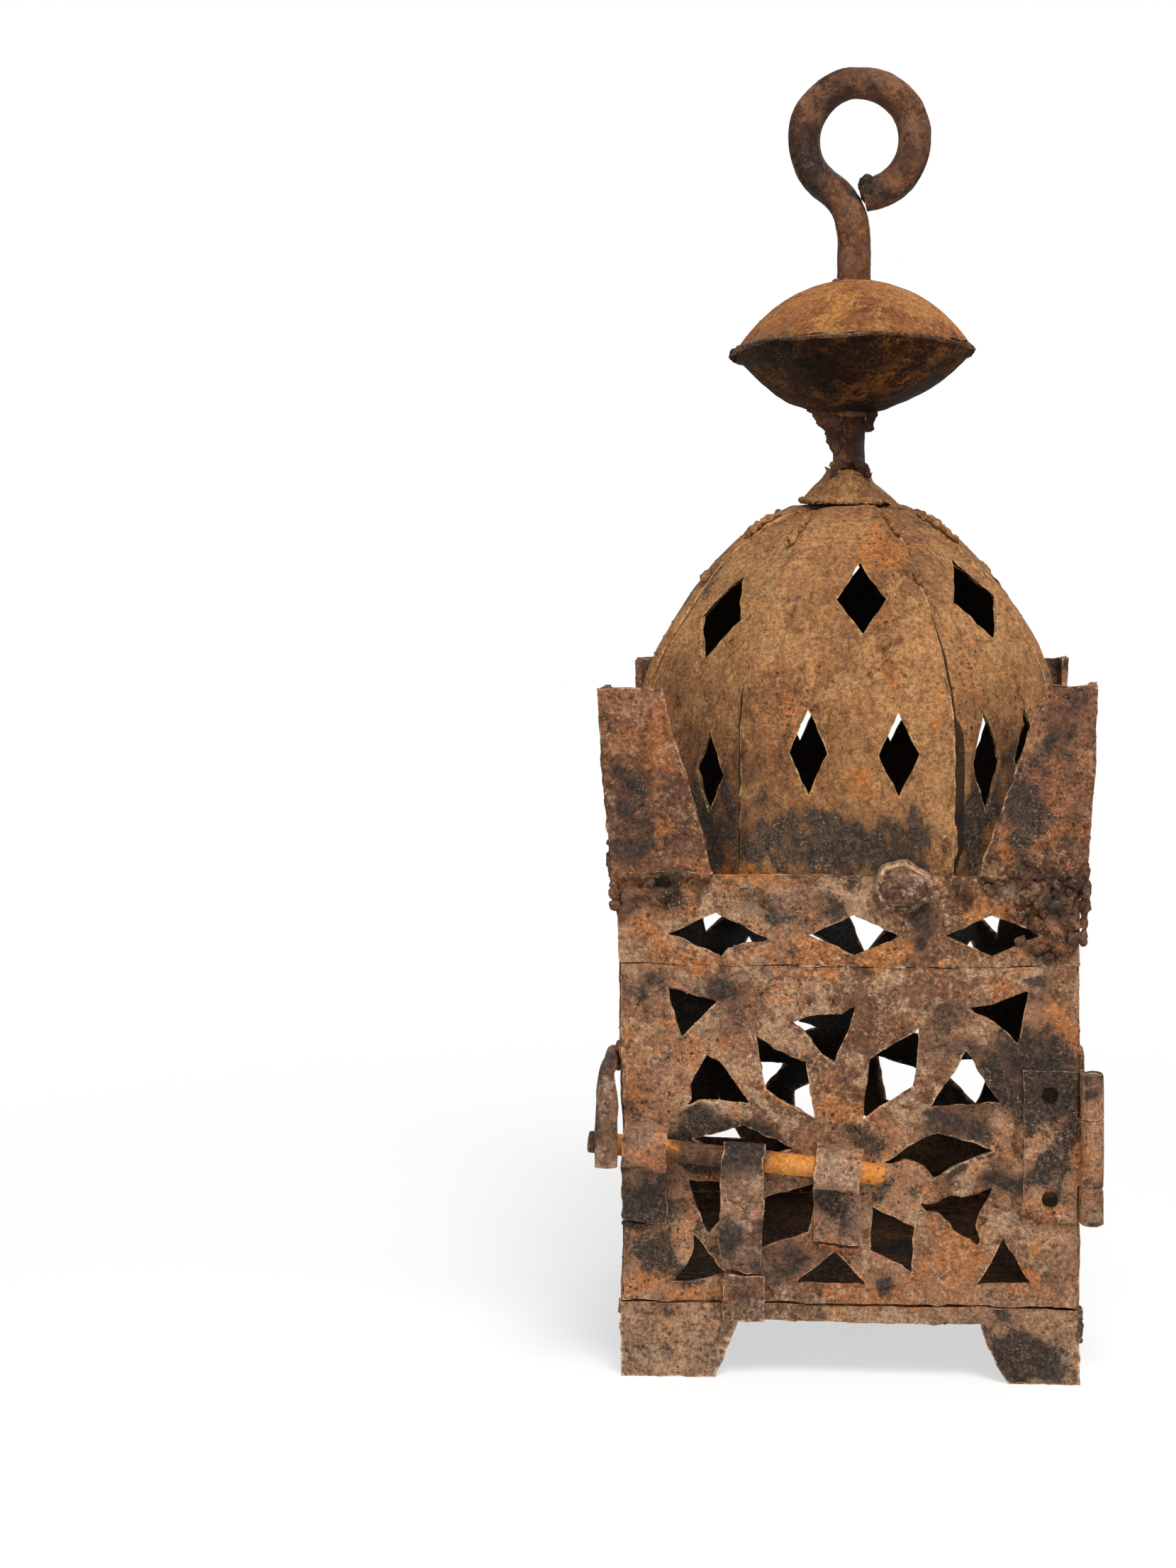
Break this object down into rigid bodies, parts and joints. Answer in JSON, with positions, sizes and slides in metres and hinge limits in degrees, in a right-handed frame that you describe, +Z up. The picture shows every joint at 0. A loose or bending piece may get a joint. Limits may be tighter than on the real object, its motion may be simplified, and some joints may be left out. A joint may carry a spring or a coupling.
{
  "type": "ceiling lantern",
  "caption": "Square pierced iron lantern on cut feet with a hinged, bolted door, a pierced petal dome, corner turrets and a hanging eye.",
  "frame": {"origin": "bottom centre of the whole lantern's box: on the plane its feet stand on, in the middle of the room it takes up with its door closed, hinge, bolt and hook included", "axes": "+Z up along the lantern to the hanging eye, -Y out of the door side, +X to the door's hinge side"},
  "size_m": [0.2238, 0.2265, 0.585],
  "materials": {
    "brown_rust": "brown rusted iron sheet, rough",
    "rust": "orange-brown rusted iron, rough",
    "dark_iron": "dark rubbed iron, half matt",
    "worn_iron": "bright orange rust rubbed by sliding"
  },
  "bodies": {
    "lantern": {"front_band": "brown_rust", "front_skirt": "brown_rust", "left_wall": "brown_rust", "left_skirt": "brown_rust", "right_wall": "brown_rust", "right_skirt": "brown_rust", "back_wall": "brown_rust", "back_skirt": "brown_rust", "floor_plate": "brown_rust", "front_left_turret": "rust", "front_right_turret": "rust", "back_right_turret": "rust", "back_left_turret": "rust", "front_petal": "rust", "front_right_petal": "rust", "right_petal": "rust", "back_right_petal": "rust", "back_petal": "rust", "back_left_petal": "rust", "left_petal": "rust", "front_left_petal": "rust", "dome_collar": "rust", "hanging_bar": "dark_iron", "bulb_upper": "rust", "bulb_lower": "rust", "bolt_hook": "brown_rust", "band_boss": "rust", "hinge_wall_leaf": "brown_rust", "hinge_pin": "dark_iron", "wall_leaf_lower_rivet": "dark_iron", "wall_leaf_upper_rivet": "dark_iron"},
    "door": {"door_panel": "brown_rust", "hinge_door_leaf": "brown_rust", "door_leaf_lower_rivet": "dark_iron", "door_leaf_upper_rivet": "dark_iron", "left_bolt_guide": "rust", "right_bolt_guide": "rust", "door_stop": "rust"},
    "bolt": {"bolt_rod": "worn_iron"},
    "strap": {"bolt_strap": "rust"}
  },
  "joints": [
    {"name": "door_swing", "type": "hinge", "parent": "lantern", "child": "door", "pos_m": [0.10675, -0.09894, 0.1057], "axis": [0, 0, 1], "range_deg": [0, 180]},
    {"name": "bolt_slide", "type": "slide", "parent": "door", "child": "bolt", "axis": [0.9951, 0, -0.0985], "range_m": [0, 0.021]},
    {"name": "strap_swing", "type": "hinge", "parent": "bolt", "child": "strap", "pos_m": [-0.04405, -0.10089, 0.0997], "axis": [-0.9951, 0, 0.0985], "range_deg": [0, 175]}
  ]
}
